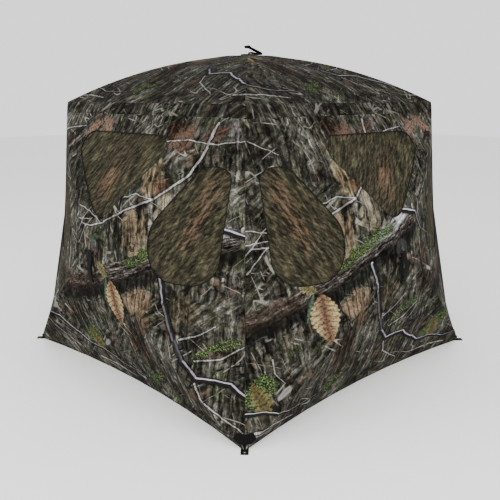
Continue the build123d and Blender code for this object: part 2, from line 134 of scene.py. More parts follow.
class Face:
    """One of the five faces of the blind, with four panels between its corners and its hub."""

    def __init__(self, name):
        self.name = name
        self.is_roof = name == "roof"
        kind = "roof" if self.is_roof else "wall"
        self.rise, self.bow = RISE[kind], BOW[kind]
        e, b = EAVE_HALF, BASE_HALF
        if self.is_roof:
            self.corners = [Vector((-e, -e)), Vector((e, -e)), Vector((e, e)), Vector((-e, e))]
            self.hub = Vector((0, 0))
        else:
            self.corners = [Vector((-b, 0)), Vector((b, 0)), Vector((e, EAVE_V)), Vector((-e, EAVE_V))]
            self.hub = Vector((0, HUB_V))
        self.across = (self.at(1, 0, 0) - self.at(0, 0, 0)).normalized()
        self.up = (self.at(0, 1, 0) - self.at(0, 0, 0)).normalized()
        self.out = (self.at(0, 0, 1) - self.at(0, 0, 0)).normalized()

    def at(self, u, v, w):
        if self.is_roof:
            return Vector((u, v, EAVE_Z + w))
        return wall_point(self.name, u, v, w)

    def ends(self, a):
        return self.corners[a], self.corners[(a + 1) % 4]

    def share(self, a, p):
        """(s, t) of a flat point in panel a: along its outer edge, and from that edge to the hub."""
        first, last = self.ends(a)
        edge = last - first
        t = edge.cross(p - first) / edge.cross(self.hub - first)
        row = first.lerp(self.hub, t)
        length = max(1e-6, 1 - t)
        return (p - row).dot(edge) / (length * edge.length_squared), t

    def panel_of(self, p):
        return min(range(4), key=lambda a: self.share(a, p)[1])

    def height(self, t):
        bowed = self.rise * t + 4 * self.bow * t * (1 - t)
        return bowed + (self.rise - bowed) * eased((t - FLAT_FROM) / (FLAT_TO - FLAT_FROM))

    def edge_sag(self, a, s):
        if self.is_roof or a == 2:
            return Vector((0, 0, 0))
        turn = TURN[self.name]
        if a == 0:
            return turned((0, 4 * s * (1 - s) * HEM_SAG, 0), turn)
        down = min(1.0, max(0.0, 1 - s if a == 1 else s))
        q = down**SEAM_SKEW
        draw = 4 * q * (1 - q) * SEAM_SAG
        return turned((-draw if a == 1 else draw, draw, 0), turn)

    def surface(self, a, p, lift=0.0):
        """The cloth over flat point p, lifted off it by lift."""
        s, t = self.share(a, p)
        s, t = min(1, max(0, s)), max(0.0, min(1.0, t))
        slack = PANEL_SLACK * 16 * s * (1 - s) * t * (1 - t)
        flat = self.at(p.x, p.y, self.height(t) - slack + lift)
        return flat + self.edge_sag(a, s) * (1 - t) ** 2

    def to_flat(self, a, p):
        """The flat point whose cloth lies over p of the face once the edges have drawn in."""
        q = p.copy()
        for _ in range(4):
            s, t = self.share(a, q)
            pull = self.edge_sag(a, min(1, max(0, s))) * (1 - t) ** 2
            q = p - Vector((pull.dot(self.across), pull.dot(self.up)))
        return q

    def blend_ends(self, a):
        first, last = self.ends(a)
        edge = (last - first).normalized()
        foot = first + edge * (self.hub - first).dot(edge)
        inward = self.hub - foot
        start = foot + inward * BLEND_FROM
        end = foot + inward * BLEND_TO
        return self.at(start.x, start.y, 0), self.at(end.x, end.y, 0)


FACES = {name: Face(name) for name in WALLS + ("roof",)}


def rounded(outline, radii, steps=7):
    """A closed outline with its corners rounded, as flat points."""
    points = []
    count = len(outline)
    for i in range(count):
        corner = Vector(outline[i])
        before = (Vector(outline[i - 1]) - corner).normalized()
        after = (Vector(outline[(i + 1) % count]) - corner).normalized()
        half = before.angle(after) / 2
        reach = radii[i] / math.tan(half)
        centre = corner + (before + after).normalized() * (radii[i] / math.sin(half))
        p, q = corner + before * reach - centre, corner + after * reach - centre
        turn = p.angle_signed(q)
        for k in range(steps + 1):
            points.append(centre + spun(p, -turn * k / steps))
    return points


def grown(points, by):
    """A convex outline moved outwards by a distance."""
    middle = mean(points)
    moved = []
    for i, p in enumerate(points):
        along = (points[(i + 1) % len(points)] - points[i - 1]).normalized()
        normal = Vector((along.y, -along.x))
        if normal.dot(p - middle) < 0:
            normal.negate()
        moved.append(p + normal * by)
    return moved


def dense(points, step):
    """The same closed outline with no span longer than step."""
    out = []
    for i, p in enumerate(points):
        q = points[(i + 1) % len(points)]
        n = max(1, math.ceil((q - p).length / step))
        out += [p.lerp(q, k / n) for k in range(n)]
    return out


def inside(points, p):
    """Whether a flat point lies in a closed outline."""
    hit = False
    for i, a in enumerate(points):
        b = points[i - 1]
        if (a.y > p.y) != (b.y > p.y) and p.x < (b.x - a.x) * (p.y - a.y) / (b.y - a.y) + a.x:
            hit = not hit
    return hit


def mirrored(outline):
    return tuple((-u, v) for u, v in outline)


def holes_in(face):
    """The face's openings, as {panel: outline in flat points}."""
    if face.is_roof:
        return {}
    if face.name in NETTED:
        shapes = {
            2: (TOP_WINDOW, TOP_WINDOW_R),
            1: (SIDE_WINDOW, SIDE_WINDOW_R),
            3: (mirrored(SIDE_WINDOW), SIDE_WINDOW_R),
        }
    else:
        shapes = {1: (DOORWAY, DOORWAY_R)}
    return {a: [face.to_flat(a, p) for p in rounded(*shape)] for a, shape in shapes.items()}


def cut(boundary, rings, loose):
    """Triangles over flat points: (points, triangles) with every ring kept as edges."""
    points, edges = [], []
    for ring in [boundary] + rings:
        first = len(points)
        points += ring
        edges += [(first + i, first + (i + 1) % len(ring)) for i in range(len(ring))]
    points += loose
    made = delaunay_2d_cdt(points, edges, [], 0, 1e-6)
    return [Vector(p) for p in made[0]], made[2]


def grid_faces(rows, across):
    """Faces of a grid of points, with as many spans across each row."""
    wide = across + 1
    starts = [j * wide + k for j in range(rows) for k in range(across)]
    return [(b, b + 1, b + wide + 1, b + wide) for b in starts]


def mesh_object(name, verts, faces, uvs, materials, indices=()):
    """A smooth mesh; indices give each face's material, and without them all faces take the first."""
    mesh = bpy.data.meshes.new(name)
    mesh.from_pydata([tuple(v) for v in verts], [], faces)
    for layer, values in uvs.items():
        data = mesh.uv_layers.new(name=layer)
        for loop in mesh.loops:
            data.data[loop.index].uv = values[loop.vertex_index]
    for m in materials:
        mesh.materials.append(m)
    for poly in mesh.polygons:
        poly.material_index = indices[poly.index] if indices else 0
        poly.use_smooth = True
    obj = bpy.data.objects.new(name, mesh)
    bpy.context.scene.collection.objects.link(obj)
    return obj


def turn_out(obj, way):
    """Makes the cloth's faces look outwards."""
    total = sum((p.normal * p.area for p in obj.data.polygons), Vector((0, 0, 0)))
    if total.dot(way) < 0:
        obj.data.flip_normals()


def thicken(obj, thickness, offset=-1.0, inner=0):
    """Gives the cloth its thickness; the inner side takes the material inner places further on."""
    mod = obj.modifiers.new("cloth", "SOLIDIFY")
    mod.thickness = thickness
    mod.offset = offset
    mod.material_offset = inner
    mod.material_offset_rim = inner
    bpy.context.view_layer.objects.active = obj
    obj.select_set(True)
    bpy.ops.object.modifier_apply(modifier=mod.name)
    obj.data.set_sharp_from_angle(angle=SHARP_ABOVE)
    obj.select_set(False)


def row_points(face, a):
    """Loose points inside panel a, on rows from its edge to the hub."""
    first, last = face.ends(a)
    reach = abs((last - first).normalized().cross(face.hub - first))
    rows = int(reach / SPACING)
    points = []
    for i in range(1, rows):
        t = i / rows
        p, q = first.lerp(face.hub, t), last.lerp(face.hub, t)
        n = max(2, int((q - p).length / SPACING))
        shift = 0.5 if i % 2 else 0.0
        points += [p.lerp(q, (j + shift) / n) for j in range(1, n)]
    return points


def panel_boundary(face, a):
    first, last = face.ends(a)
    n = int((last - first).length / SPACING)
    m = int((face.hub - first).length / SPACING)
    m = max(m, int((face.hub - last).length / SPACING))
    points = [first.lerp(last, j / n) for j in range(n)]
    points += [last.lerp(face.hub, j / m) for j in range(m)]
    points += [face.hub.lerp(first, j / m) for j in range(m)]
    return points


def mean(points):
    return sum(points[1:], points[0]) / len(points)


def near(points, p, distance):
    return any((q - p).length < distance for q in points)


def middle_of(points, triangle):
    return mean([points[i] for i in triangle])


def filled(face, a, edge, lift):
    """Cloth that fills an outline in panel a: (flat points, triangles, places in space)."""
    border = grown(edge, -EDGE_CLEAR)
    loose = [p for p in row_points(face, a) if inside(border, p)]
    points, triangles = cut(edge, [], loose)
    kept = [t for t in triangles if inside(edge, middle_of(points, t))]
    return points, kept, [face.surface(a, p, lift) for p in points]


def declare(obj, face, panel):
    """With a panel, bakes the sheet's transform into its mesh; the panel's blend ends are found but not
    used.
    """
    if panel is not None:
        start, end = face.blend_ends(panel)
        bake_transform(obj)


# ---- material graphs ----
def rgb(r, g, b):
    """A colour given as 0 to 255 on screen, as linear light."""
    linear = []
    for c in (r, g, b):
        c /= 255
        linear.append(c / 12.92 if c <= 0.04045 else ((c + 0.055) / 1.055) ** 2.4)
    return (*linear, 1.0)


class Graph:
    """Short calls for building a node tree."""

    def __init__(self, tree):
        self.tree = tree

    def set(self, socket, value):
        if isinstance(value, bpy.types.NodeSocket):
            self.tree.links.new(value, socket)
        elif value is not None:
            socket.default_value = value

    def feed(self, node, **values):
        """Gives a node's inputs their values or links; an input's spaces are written as underscores."""
        for name, value in values.items():
            self.set(node.inputs[name.replace("_", " ")], value)
        return node

    def node(self, kind, **settings):
        node = self.tree.nodes.new(kind)
        for key, value in settings.items():
            setattr(node, key, value)
        return node

    def math(self, operation, a, b=None, c=None):
        node = self.node("ShaderNodeMath", operation=operation)
        for socket, value in zip(node.inputs, (a, b, c)):
            self.set(socket, value)
        return node.outputs[0]

    def times(self, a, b):
        return self.math("MULTIPLY", a, b)

    def plus(self, a, b):
        return self.math("ADD", a, b)

    def minus(self, a, b):
        return self.math("SUBTRACT", a, b)

    def madd(self, a, b, c):
        return self.math("MULTIPLY_ADD", a, b, c)

    def absolute(self, value):
        return self.math("ABSOLUTE", value)

    def moved(self, v, by):
        return self.vector("ADD", v, by)

    def unit(self, value):
        """value kept between 0 and 1."""
        return self.math("MAXIMUM", self.math("MINIMUM", value, 1.0), 0.0)

    def vector(self, operation, a, b=None, scale=None):
        node = self.node("ShaderNodeVectorMath", operation=operation)
        self.set(node.inputs[0], a)
        self.set(node.inputs[1], b)
        if scale is not None:
            self.set(node.inputs["Scale"], scale)
        return node.outputs["Value" if operation in ("LENGTH", "DOT_PRODUCT") else "Vector"]

    def point(self, x, y, z=0.0):
        node = self.node("ShaderNodeCombineXYZ")
        for socket, value in zip(node.inputs, (x, y, z)):
            self.set(socket, value)
        return node.outputs[0]

    def parts(self, v):
        node = self.node("ShaderNodeSeparateXYZ")
        self.set(node.inputs[0], v)
        return node.outputs

    def placed(self, v, centre, angle, scale=(1.0, 1.0)):
        """v in the axes of something at centre, turned by angle degrees, in units of scale."""
        node = self.node("ShaderNodeMapping", vector_type="TEXTURE")
        turn = (0.0, 0.0, math.radians(angle))
        self.feed(node, Vector=v, Location=(*centre, 0.0), Rotation=turn, Scale=(*scale, 1.0))
        return node.outputs[0]

    def noise(self, v, scale, detail=4.0, rough=0.6, distortion=0.0, colour=False):
        node = self.node("ShaderNodeTexNoise", noise_dimensions="3D")
        self.feed(node, Vector=v, Scale=scale, Detail=detail, Roughness=rough, Distortion=distortion)
        return node.outputs["Color" if colour else 0]

    def streaks(self, v, angle, across, along, detail=5.0, rough=0.65):
        """Noise drawn out along one direction, angle degrees from upright."""
        turned_v = self.placed(v, (0.0, 0.0), angle)
        stretched = self.vector("MULTIPLY", turned_v, (across, along, 1.0))
        return self.noise(stretched, 1.0, detail, rough)

    def cells(self, v, scale, feature):
        node = self.node("ShaderNodeTexVoronoi", feature=feature)
        return self.feed(node, Vector=v, Scale=scale).outputs

    def ramp(self, value, *stops):
        node = self.node("ShaderNodeValToRGB")
        elements = node.color_ramp.elements
        while len(elements) < len(stops):
            elements.new(0.5)
        for element, (position, colour) in zip(elements, stops):
            element.position = position
            element.color = colour
        self.set(node.inputs[0], value)
        return node.outputs[0]

    def inked(self, colour, dark):
        """The print's colours as they dry on the cloth: deeper, and a little greyer."""
        gamma = self.feed(self.node("ShaderNodeGamma"), Color=colour, Gamma=PRINT_DEPTH)
        tone = self.node("ShaderNodeHueSaturation")
        self.feed(tone, Saturation=PRINT_SATURATION, Value=dark, Color=gamma.outputs[0])
        return tone.outputs[0]

    def mix(self, share, a, b, kind="MIX"):
        node = self.node("ShaderNodeMix", data_type="RGBA", blend_type=kind)
        self.set(node.inputs[0], share)
        self.set(node.inputs[6], a)
        self.set(node.inputs[7], b)
        return node.outputs[2]

    def tinted(self, colour, tone):
        return self.mix(1.0, colour, tone, "MULTIPLY")

    def paint(self, under, over, mask, strength):
        """under with over laid on it where mask is 1, at a strength up to 1."""
        return self.mix(self.times(mask, strength), under, over)

    def shift_noise(self, v, scale, by, detail, rough=0.6):
        """A vector noise round zero, as long as by."""
        noise = self.noise(v, scale, detail, rough, colour=True)
        return self.vector("SCALE", self.vector("SUBTRACT", noise, (0.5, 0.5, 0.5)), scale=by)

    def step(self, value, low, high):
        """0 at low, 1 at high, smooth between."""
        node = self.node("ShaderNodeMapRange", interpolation_type="SMOOTHSTEP", clamp=False)
        self.feed(node, Value=value, From_Min=low, From_Max=high)
        return node.outputs[0]

    def patch(self, v, centre, radii, angle=0.0, soft=0.35):
        """1 inside an oval, 0 outside it."""
        local = self.placed(v, centre, angle, radii)
        return self.step(self.vector("LENGTH", local), 1.0 + soft, 1.0 - soft)

    def line(self, v, points, wide, thin):
        """Distance from a bent line, over the line's own half width, which tapers."""
        best = None
        count = len(points) - 1
        for i in range(count):
            a, b = Vector((*points[i], 0.0)), Vector((*points[i + 1], 0.0))
            span = b - a
            away = self.vector("SUBTRACT", v, tuple(a))
            dot = self.vector("DOT_PRODUCT", away, tuple(span / span.length_squared))
            t = self.unit(dot)
            foot = self.vector("SCALE", tuple(span), scale=t)
            distance = self.vector("LENGTH", self.vector("SUBTRACT", away, foot))
            start = wide + (thin - wide) * i / count
            end = wide + (thin - wide) * (i + 1) / count
            half = self.madd(t, end - start, start)
            ratio = self.math("DIVIDE", distance, half)
            best = ratio if best is None else self.math("MINIMUM", best, ratio)
        return best


def material(name, roughness, specular=0.25):
    """A new material: (material, its graph, its main shader)."""
    made = bpy.data.materials.new(name)
    made.use_nodes = True
    g = Graph(made.node_tree)
    shader = made.node_tree.nodes["Principled BSDF"]
    g.feed(shader, Roughness=roughness, Specular_IOR_Level=specular)
    return made, g, shader


def bumped(g, shader, height, strength, distance):
    bump = g.feed(g.node("ShaderNodeBump"), Strength=strength, Distance=distance, Height=height)
    g.feed(shader, Normal=bump.outputs[0])


# ---- the woodland print ----
PRINT_PERIOD = 1.305
PRINT_DEPTH = 1.38
PRINT_SATURATION = 0.70
PRINT_ON_WALLS = 0.92
PRINT_ON_ROOF = 0.58
CLOTH_SPECULAR = 0.04
PRINT_START = -0.35
CLOTH_THREAD = 0.0014
NET_THREAD = 0.0022
RIB = 0.0022
TOOTH = 0.0035
WALL_SHIFT = {"front": 0.0, "right": 0.62, "back": 0.31, "left": 0.93}
ROOF_SHIFT = 0.45

BARK_DARK = rgb(24, 23, 20)
WOOD_PINK = rgb(142, 116, 90)
IVORY = rgb(188, 172, 132)
AMBER = rgb(172, 112, 40)
SALMON = rgb(146, 112, 86)
OAK_RIM = rgb(124, 98, 76)
OAK_HEART = rgb(106, 82, 62)
MOSS = rgb(98, 124, 46)
MOSS_DEEP = rgb(48, 66, 26)
TEAL = rgb(64, 100, 76)
LEAF_CREAM = rgb(186, 164, 92)
LEAF_RUST = rgb(134, 92, 44)

# Twigs and limbs: points in metres on the cloth, half width at the first point and at the last.
TWIGS = (
    (
        (
            (0.62, 1.34), (0.58, 1.215), (0.52, 1.11), (0.355, 0.99),
            (0.19, 0.922), (0.04, 0.848), (-0.05, 0.822), (-0.155, 0.825),
        ),
        0.0065,
        0.0032,
    ),
    (((0.168, 0.982), (0.25, 1.005), (0.355, 0.99)), 0.003, 0.003),
    (((-0.185, 0.908), (-0.08, 0.885), (0.025, 0.848)), 0.003, 0.0022),
    (((0.315, 1.245), (0.48, 1.262), (0.63, 1.252), (0.825, 1.29), (0.915, 1.298)), 0.0032, 0.0026),
    (((-0.113, 1.275), (0.008, 1.208)), 0.003, 0.002),
    (((0.555, 0.4), (0.64, 0.43), (0.715, 0.48)), 0.0045, 0.0022),
    (((0.64, 0.322), (0.75, 0.345), (0.842, 0.412)), 0.0045, 0.0025),
    (((0.655, 0.23), (0.69, 0.165), (0.775, 0.12), (0.88, 0.068)), 0.005, 0.003),
    (((-0.27, 0.06), (-0.12, 0.06), (0.045, 0.038)), 0.006, 0.004),
    (((-0.12, 0.345), (-0.115, 0.28), (-0.08, 0.24)), 0.004, 0.002),
    (((-0.19, 0.78), (-0.06, 0.93)), 0.004, 0.002),
    (((-0.18, 0.72), (-0.05, 0.86)), 0.004, 0.002),
    (((-0.19, 0.84), (-0.06, 0.852)), 0.003, 0.002),
)
# Threads: lean in degrees, fineness across and along, half width, tone.
FILAMENTS = (
    (-52.0, 10.0, 1.3, 0.008, rgb(150, 148, 142)),
    (-112.0, 10.0, 1.3, 0.007, rgb(164, 158, 148)),
    (22.0, 10.0, 1.4, 0.007, rgb(146, 142, 132)),
    (8.0, 20.0, 3.0, 0.013, rgb(18, 17, 15)),
    (-70.0, 18.0, 3.0, 0.013, rgb(22, 20, 18)),
)
LIMBS = (
    (
        (
            (0.425, 0.68), (0.46, 0.54), (0.53, 0.39), (0.585, 0.31), (0.655, 0.248),
            (0.74, 0.25), (0.81, 0.247), (0.88, 0.2), (0.955, 0.17),
        ),
        0.011,
        0.0085,
    ),
    (((-0.35, 0.17), (-0.29, 0.137), (-0.17, 0.135), (-0.02, 0.09), (0.19, 0.085)), 0.0085, 0.004),
    (((0.69, 0.895), (0.79, 0.872), (0.87, 0.78)), 0.012, 0.006),
)
LOG_LINE = (
    (-0.35, 0.49), (-0.21, 0.51), (0.0, 0.57), (0.13, 0.615), (0.3, 0.69), (0.52, 0.78), (0.72, 0.86),
)
LOG_HALF = (0.040, 0.054)
# Patches: centre, radii, lean in degrees, and tone where it differs.
PALE_PATCHES = (
    ((0.325, 1.085), (0.080, 0.078), 35, IVORY),
    ((0.255, 0.835), (0.085, 0.105), 0, rgb(166, 150, 118)),
    ((0.44, 0.925), (0.075, 0.085), 0, rgb(186, 180, 160)),
    ((0.325, 0.52), (0.085, 0.055), 10, rgb(178, 154, 120)),
    ((0.36, 0.43), (0.05, 0.05), 0, rgb(150, 128, 104)),
    ((0.40, 1.275), (0.11, 0.05), -25, rgb(140, 104, 70)),
    ((0.70, 1.31), (0.03, 0.06), 0, rgb(160, 158, 166)),
    ((0.56, 0.53), (0.09, 0.07), 0, rgb(150, 146, 124)),
    ((0.60, 0.875), (0.12, 0.018), 18, rgb(206, 206, 212)),
    ((-0.02, 0.42), (0.06, 0.02), 30, rgb(170, 164, 156)),
)
WARM_PATCHES = (
    ((0.27, 0.31), (0.085, 0.10), 10),
    ((-0.25, 0.535), (0.13, 0.022), 6),
    ((0.02, 0.70), (0.05, 0.03), 0),
    ((0.62, 0.17), (0.12, 0.02), 30),
    ((0.86, 0.60), (0.05, 0.12), 0),
)
MOSS_PATCHES = (
    ((0.40, 0.765), (0.20, 0.035), 22),
    ((0.31, 0.13), (0.085, 0.028), 25),
    ((0.725, 0.385), (0.13, 0.016), 28),
    ((-0.19, 0.22), (0.10, 0.05), 40),
)
# Leaves: base, tip, half width, lobes to a side, how deep they are cut, tone at the rim and inside.
LEAVES = (
    ((-0.40, 1.25), (-0.24, 1.325), 0.045, 6.0, 0.55, OAK_RIM, SALMON),
    ((-0.14, 1.27), (-0.25, 1.35), 0.05, 5.0, 0.6, OAK_RIM, SALMON),
    ((0.36, 1.22), (0.50, 1.33), 0.05, 5.0, 0.6, OAK_HEART, OAK_RIM),
    ((0.56, 1.26), (0.68, 1.33), 0.04, 5.0, 0.6, OAK_HEART, rgb(84, 62, 48)),
    ((0.11, 0.60), (0.02, 0.665), 0.035, 5.0, 0.5, rgb(150, 150, 80), rgb(118, 112, 60)),
    ((-0.16, 0.12), (-0.22, 0.26), 0.05, 5.0, 0.55, rgb(140, 130, 52), rgb(104, 96, 40)),
    ((0.098, 0.60), (0.048, 0.47), 0.013, 1.0, 0.0, TEAL, rgb(92, 128, 104)),
    ((-0.04, 0.755), (0.05, 0.785), 0.02, 3.0, 0.3, TEAL, rgb(58, 92, 60)),
    ((0.13, 0.595), (0.155, 0.362), 0.078, 11.0, 0.14, LEAF_CREAM, LEAF_RUST),
)


def leaf(g, v, base, tip, half_width, lobes, depth):
    """(mask, position along the leaf, distance from its midrib over the half width)."""
    a, b = Vector(base), Vector(tip)
    length = (b - a).length
    angle = math.degrees(math.atan2(b.y - a.y, b.x - a.x))
    local = g.parts(g.placed(v, base, angle, (length, half_width)))
    along, side = local[0], g.absolute(local[1])
    body = g.math("SINE", g.times(g.math("POWER", g.unit(along), 0.85), math.pi))
    wave = g.absolute(g.math("SINE", g.times(along, lobes * math.pi)))
    edge = g.times(body, g.madd(wave, depth, 1.0 - depth))
    return g.step(g.minus(edge, side), 0.0, 0.08), along, side


def paint_leaf(g, v, under, base, tip, half_width, lobes, depth, rim, heart):
    mask, along, side = leaf(g, v, base, tip, half_width, lobes, depth)
    slant = g.minus(along, g.times(side, 0.12))
    vein = g.math("SINE", g.times(slant, 62.0))
    blotch = g.noise(v, 38.0, 4.0, 0.65)
    toward = g.minus(g.madd(blotch, 0.9, 0.25), side)
    colour = g.mix(g.step(toward, 0.0, 0.7), rim, heart)
    colour = g.paint(colour, rgb(70, 48, 26), g.step(vein, 0.5, 1.0), 0.45)
    colour = g.paint(colour, rgb(120, 84, 44), g.step(side, 0.09, 0.03), 0.8)
    dirt = g.ramp(g.noise(v, 75.0, 4.0, 0.7), (0.38, rgb(90, 84, 76)), (0.52, rgb(255, 255, 255)))
    return g.paint(under, g.mix(0.75, colour, dirt, "MULTIPLY"), mask, 0.9)


def bent_flat(g, v, scale, by):
    """v with a little wander, so that drawn shapes lose their straight edges."""
    noise = g.noise(v, scale, 2.0, colour=True)
    wander = g.vector("MULTIPLY", g.vector("SUBTRACT", noise, (0.5, 0.5, 0.5)), (by, by, 0.0))
    return g.moved(v, wander)


def nearest(g, v, lines):
    ratio = None
    for points, wide, thin in lines:
        r = g.line(v, points, wide, thin)
        ratio = r if ratio is None else g.math("MINIMUM", ratio, r)
    return ratio


def paint_twigs(g, v, under, lines, grain):
    """Thin pale twigs with a dark line along both sides."""
    ratio = nearest(g, bent_flat(g, v, 22.0, 0.016), lines)
    under = g.paint(under, BARK_DARK, g.step(ratio, 2.6, 1.0), 0.7)
    colour = g.ramp(
        grain,
        (0.40, rgb(96, 92, 86)),
        (0.52, rgb(158, 156, 152)),
        (0.66, rgb(206, 204, 204)),
    )
    return g.mix(g.step(ratio, 1.1, 0.6), under, colour)


def paint_limbs(g, v, under, lines, grain):
    """Thick dark branches with a lavender light along their upper side."""
    bent = bent_flat(g, v, 14.0, 0.018)
    ratio = nearest(g, bent, lines)
    lit = nearest(g, g.moved(bent, (0.003, -0.005, 0.0)), lines)
    under = g.paint(under, BARK_DARK, g.step(ratio, 2.2, 1.0), 0.8)
    colour = g.mix(g.step(g.minus(lit, ratio), 0.1, -0.35), rgb(52, 48, 48), rgb(176, 174, 184))
    colour = g.mix(g.step(grain, 0.50, 0.40), colour, g.mix(0.55, colour, BARK_DARK))
    return g.mix(g.step(ratio, 1.08, 0.86), under, colour)


def woodland_group():
    """The print as one node group: place on the cloth in metres in, colour out."""
    tree = bpy.data.node_groups.new("woodland", "ShaderNodeTree")
    tree.interface.new_socket("Place", in_out="INPUT", socket_type="NodeSocketVector")
    tree.interface.new_socket("Colour", in_out="OUTPUT", socket_type="NodeSocketColor")
    g = Graph(tree)
    place = tree.nodes.new("NodeGroupInput").outputs[0]
    x, y, _ = g.parts(place)
    wrapped = g.plus(g.math("FLOORED_MODULO", g.minus(x, PRINT_START), PRINT_PERIOD), PRINT_START)
    flat = g.point(wrapped, y)
    loose = g.shift_noise(place, 9.0, 0.17, 6.0, 0.72)
    rough = g.moved(flat, g.vector("MULTIPLY", loose, (1.0, 1.0, 0.0)))
    stirred = g.moved(place, g.vector("SCALE", loose, scale=0.30))

    upright = g.streaks(stirred, 4.0, 62.0, 5.0, 6.0, 0.74)
    slanted = g.streaks(stirred, -48.0, 56.0, 5.0, 5.0, 0.74)
    litter = g.noise(stirred, 34.0, 6.0, 0.78, 0.6)
    broad = g.noise(place, 4.5, 3.0, 0.6)
    lean = g.step(g.noise(g.moved(place, (3.1, 7.7, 0.0)), 4.2, 2.0), 0.50, 0.60)
    grain = g.times(g.mix(lean, upright, slanted), 0.62)
    grain = g.madd(litter, 0.38, grain)
    grain = g.madd(g.minus(broad, 0.5), 0.26, grain)
    colour = g.ramp(
        grain,
        (0.36, rgb(16, 16, 15)),
        (0.44, rgb(42, 41, 36)),
        (0.49, rgb(68, 67, 59)),
        (0.54, rgb(97, 96, 84)),
        (0.595, rgb(136, 134, 123)),
        (0.67, rgb(204, 202, 194)),
    )
    tint = g.noise(g.moved(place, (11.0, 2.0, 0.0)), 7.0, 5.0, 0.65)
    colour = g.paint(colour, g.tinted(colour, rgb(240, 208, 180)), g.step(tint, 0.53, 0.62), 0.75)
    colour = g.paint(colour, g.tinted(colour, rgb(206, 218, 172)), g.step(tint, 0.46, 0.38), 0.75)
    leafy = g.cells(stirred, 23.0, "F1")
    pick = g.parts(leafy["Color"])[0]
    leaf_tone = g.ramp(
        pick,
        (0.0, rgb(60, 56, 44)),
        (0.3, rgb(112, 84, 60)),
        (0.55, rgb(88, 92, 60)),
        (0.75, rgb(146, 116, 84)),
        (1.0, rgb(120, 116, 104)),
    )
    shade = g.step(leafy["Distance"], 0.62, 0.30)
    leaf_tone = g.mix(shade, rgb(24, 22, 18), g.mix(0.45, leaf_tone, colour))
    leaf_zone = g.step(g.noise(g.moved(place, (5.0, 9.0, 0.0)), 5.0, 4.0, 0.7), 0.53, 0.60)
    colour = g.paint(colour, leaf_tone, g.times(leaf_zone, g.step(pick, 0.25, 0.4)), 0.7)
    wavy = g.moved(place, g.vector("SCALE", loose, scale=0.12))
    for angle, across, along, width, tone in FILAMENTS:
        thread = g.streaks(g.moved(wavy, (angle, across, 0.0)), angle, across, along, 1.0, 0.4)
        thin = g.step(g.absolute(g.minus(thread, 0.5)), width, width * 0.3)
        here = g.step(g.noise(g.moved(place, (along, angle, 0.0)), 7.5, 2.0), 0.52, 0.60)
        colour = g.paint(colour, tone, g.times(thin, here), 0.85)

    pale_grain = g.ramp(
        grain,
        (0.40, rgb(30, 27, 22)),
        (0.485, rgb(132, 126, 114)),
        (0.585, rgb(222, 216, 204)),
        (0.70, rgb(255, 255, 250)),
    )
    for centre, radii, angle, tone in PALE_PATCHES:
        mask = g.patch(rough, centre, radii, angle, 0.12)
        colour = g.paint(colour, g.tinted(pale_grain, tone), mask, 0.92)
    amber = g.patch(rough, (0.395, 1.045), (0.035, 0.05), 20, 0.4)
    colour = g.paint(colour, g.tinted(pale_grain, AMBER), amber, 0.6)
    for centre, radii, angle in WARM_PATCHES:
        mask = g.patch(rough, centre, radii, angle, 0.2)
        broken = g.times(mask, g.step(litter, 0.42, 0.52))
        colour = g.paint(colour, g.tinted(pale_grain, WOOD_PINK), broken, 0.75)
    knot = g.vector("LENGTH", g.placed(rough, (0.262, 0.776), 0.0, (0.018, 0.012)))
    colour = g.paint(colour, BARK_DARK, g.step(g.absolute(g.minus(knot, 1.0)), 0.45, 0.1), 0.8)

    log_v = g.moved(flat, g.vector("MULTIPLY", loose, (0.45, 0.45, 0.0)))
    log = g.line(log_v, LOG_LINE, *LOG_HALF)
    upper = g.line(g.moved(log_v, (0.012, -0.036, 0.0)), LOG_LINE, *LOG_HALF)
    log_streaks = g.streaks(stirred, -68.0, 120.0, 9.0, 5.0, 0.74)
    along_log = g.madd(litter, 0.35, g.times(log_streaks, 0.65))
    log_colour = g.ramp(
        along_log,
        (0.40, rgb(14, 13, 12)),
        (0.47, rgb(48, 44, 40)),
        (0.53, rgb(92, 84, 76)),
        (0.59, rgb(140, 132, 124)),
        (0.67, rgb(206, 202, 198)),
    )
    left_end = g.step(wrapped, 0.12, -0.05)
    log_colour = g.paint(log_colour, g.tinted(pale_grain, WOOD_PINK), left_end, 0.45)
    log_colour = g.paint(log_colour, rgb(24, 22, 20), g.step(upper, 0.9, 1.9), 0.75)
    sheen = g.times(g.step(upper, 0.95, 0.45), g.step(wrapped, 0.32, 0.52))
    silver = g.ramp(
        along_log,
        (0.42, rgb(60, 58, 60)),
        (0.50, rgb(168, 168, 172)),
        (0.60, rgb(232, 232, 238)),
    )
    log_colour = g.paint(log_colour, silver, sheen, 0.7)
    shadow = g.line(g.moved(log_v, (0.0, 0.05, 0.0)), LOG_LINE, *LOG_HALF)
    colour = g.paint(colour, BARK_DARK, g.step(shadow, 1.5, 0.7), 0.7)
    colour = g.mix(g.step(log, 1.05, 0.92), colour, log_colour)

    tuft = g.noise(place, 160.0, 3.0, 0.7)
    moss = g.ramp(
        tuft,
        (0.38, rgb(18, 24, 10)),
        (0.48, MOSS_DEEP),
        (0.57, MOSS),
        (0.68, rgb(158, 178, 78)),
    )
    for centre, radii, angle in MOSS_PATCHES:
        mask = g.patch(rough, centre, radii, angle, 0.2)
        broken = g.times(mask, g.step(litter, 0.42, 0.49))
        colour = g.mix(broken, colour, moss)

    for leaf_values in LEAVES:
        colour = paint_leaf(g, flat, colour, *leaf_values)
    colour = paint_limbs(g, flat, colour, LIMBS, grain)
    colour = paint_twigs(g, flat, colour, TWIGS, grain)
    out = tree.nodes.new("NodeGroupOutput")
    tree.links.new(colour, out.inputs[0])
    return tree


def use_group(g, tree, place):
    node = g.node("ShaderNodeGroup", node_tree=tree)
    g.set(node.inputs[0], place)
    return node.outputs[0]


